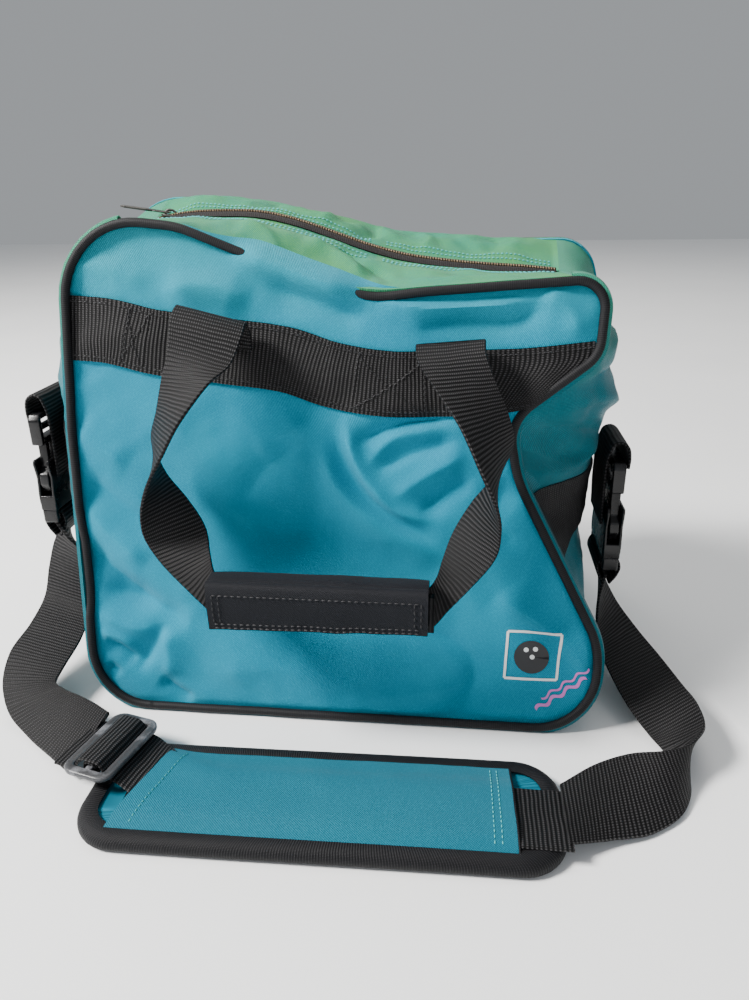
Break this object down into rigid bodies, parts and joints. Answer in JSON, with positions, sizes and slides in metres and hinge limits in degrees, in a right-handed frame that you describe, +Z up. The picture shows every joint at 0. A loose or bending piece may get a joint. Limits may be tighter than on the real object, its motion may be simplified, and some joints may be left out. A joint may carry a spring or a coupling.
{
  "type": "bowling ball bag",
  "caption": "Soft zip-top bowling bag standing empty, with two webbing handles, a wrapped grip, side-release buckles and a padded shoulder strap laid in front.",
  "frame": {"origin": "centre of the bag base on the surface it stands on", "axes": "+Z up, -Y out of the front panel, +X to the right of a viewer in front"},
  "size_m": [0.4286, 0.3475, 0.2948],
  "materials": {
    "nylon_front": "teal diagonal-weave nylon",
    "nylon_gusset": "teal nylon, lighter",
    "nylon_top": "teal nylon faded to yellow-green by light",
    "piping": "black covered piping",
    "webbing": "black ribbed polypropylene webbing",
    "zip_tape": "black woven zipper tape",
    "zip_coil": "bronze-brown nylon coil",
    "zip_metal": "black enamelled zinc",
    "buckle_plastic": "black moulded acetal",
    "adjuster_plastic": "black moulded plastic, worn",
    "wrap_nylon": "black packcloth",
    "hook_loop": "hook and loop tape",
    "pad_nylon": "teal nylon over foam",
    "binding": "black grosgrain binding",
    "board": "black fibre board",
    "foam": "dark grey foam ring",
    "print_white": "screen print"
  },
  "bodies": {
    "bag": {"front_panel": "nylon_front", "back_panel": "nylon_front", "front_piping": "piping", "back_piping": "piping", "left_gusset": "nylon_gusset", "right_gusset": "nylon_gusset", "bottom_panel": "nylon_gusset", "base_board": "board", "ball_cup": "foam", "zipper_tail_left": "zip_tape", "zipper_tail_right": "zip_tape", "front_band": "webbing", "back_band": "webbing", "front_handle_anchors": "webbing", "back_handle_anchors": "webbing", "left_side_band": "webbing", "right_side_band": "webbing", "left_buckle_anchor": "webbing", "right_buckle_anchor": "webbing", "left_buckle_male": "buckle_plastic", "right_buckle_male": "buckle_plastic", "left_riser": "webbing", "left_run": "webbing", "right_riser": "webbing", "right_run": "webbing", "adjuster_weave": "webbing", "pad_run": "webbing", "emblem": "print_white"},
    "front_flap": {"top_flap_front": "nylon_top", "zipper_tape_front": "zip_tape", "zipper_coil_front": "zip_coil"},
    "rear_flap": {"top_flap_rear": "nylon_top", "zipper_tape_rear": "zip_tape", "zipper_coil_rear": "zip_coil"},
    "slider": {"zipper_slider": "zip_metal"},
    "pull": {"zipper_pull": "zip_metal"},
    "front_handle": {"front_handle_strap_left": "webbing", "front_handle_strap_right": "webbing", "front_handle_grip": "webbing", "grip_wrap": "wrap_nylon", "wrap_loop_strip": "hook_loop"},
    "wrap_flap": {"grip_wrap_flap": "wrap_nylon", "wrap_hook_strip": "hook_loop"},
    "back_handle": {"back_handle_strap_left": "webbing", "back_handle_strap_right": "webbing", "back_handle_grip": "webbing"},
    "left_prong_a": {"left_prong_a": "buckle_plastic"},
    "left_prong_b": {"left_prong_b": "buckle_plastic"},
    "right_prong_a": {"right_prong_a": "buckle_plastic"},
    "right_prong_b": {"right_prong_b": "buckle_plastic"},
    "left_clip": {"left_buckle_female": "buckle_plastic", "left_strap_end": "webbing"},
    "right_clip": {"right_buckle_female": "buckle_plastic", "right_strap_end": "webbing"},
    "pad": {"shoulder_pad": "pad_nylon", "pad_binding": "binding", "pad_sleeve": "pad_nylon"},
    "adjuster": {"adjuster": "adjuster_plastic", "adjuster_loop": "webbing"}
  },
  "joints": [
    {"name": "front_flap_open", "type": "hinge", "parent": "bag", "child": "front_flap", "pos_m": [-0.1, -0.048, 0.2858], "axis": [0.9905, 0, -0.1378], "range_deg": [0, 100]},
    {"name": "rear_flap_open", "type": "hinge", "parent": "bag", "child": "rear_flap", "pos_m": [-0.1, 0.046, 0.2968], "axis": [-0.9905, 0, 0.1378], "range_deg": [0, 100]},
    {"name": "zipper_slide", "type": "slide", "parent": "bag", "child": "slider", "axis": [0.9905, 0, -0.1378], "range_m": [0, 0.23]},
    {"name": "zipper_pull_swing", "type": "hinge", "parent": "slider", "child": "pull", "pos_m": [-0.10802, 0, 0.28554], "axis": [0, 1, 0], "range_deg": [0, 165]},
    {"name": "front_handle_lift", "type": "hinge", "parent": "bag", "child": "front_handle", "pos_m": [-0.062, -0.076, 0.236], "axis": [-0.9903, 0, 0.1393], "range_deg": [0, 160]},
    {"name": "grip_wrap_open", "type": "hinge", "parent": "front_handle", "child": "wrap_flap", "pos_m": [-0.001, -0.1369, 0.106], "axis": [-1, 0, 0], "range_deg": [0, 150]},
    {"name": "back_handle_lift", "type": "hinge", "parent": "bag", "child": "back_handle", "pos_m": [-0.062, 0.076, 0.236], "axis": [0.9903, 0, -0.1393], "range_deg": [0, 155]},
    {"name": "left_prong_a_press", "type": "hinge", "parent": "bag", "child": "left_prong_a", "pos_m": [-0.191, -0.0145, 0.1516], "axis": [-1, 0, 0], "range_deg": [0, 7], "stiffness_Nm_per_rad": 0.05},
    {"name": "left_prong_b_press", "type": "hinge", "parent": "bag", "child": "left_prong_b", "pos_m": [-0.191, -0.0455, 0.1516], "axis": [1, 0, 0], "range_deg": [0, 7], "stiffness_Nm_per_rad": 0.05},
    {"name": "left_buckle_release", "type": "slide", "parent": "bag", "child": "left_clip", "axis": [0, 0, -1], "range_m": [0, 0.045], "deforming": ["left_riser", "left_prong_a", "left_prong_b"]},
    {"name": "right_prong_a_press", "type": "hinge", "parent": "bag", "child": "right_prong_a", "pos_m": [0.169, -0.0305, 0.1236], "axis": [1, 0, 0], "range_deg": [0, 7], "stiffness_Nm_per_rad": 0.05},
    {"name": "right_prong_b_press", "type": "hinge", "parent": "bag", "child": "right_prong_b", "pos_m": [0.169, 0.0005, 0.1236], "axis": [-1, 0, 0], "range_deg": [0, 7], "stiffness_Nm_per_rad": 0.05},
    {"name": "right_buckle_release", "type": "slide", "parent": "bag", "child": "right_clip", "axis": [0, 0, -1], "range_m": [0, 0.045], "deforming": ["right_riser", "right_prong_a", "right_prong_b"]},
    {"name": "pad_slide", "type": "slide", "parent": "bag", "child": "pad", "axis": [1, 0, 0], "range_m": [0, 0.025], "deforming": ["right_run"]},
    {"name": "adjuster_slide", "type": "slide", "parent": "bag", "child": "adjuster", "axis": [-0.9703, 0.2419, 0], "range_m": [0, 0.02], "deforming": ["left_run", "adjuster_weave"]}
  ]
}
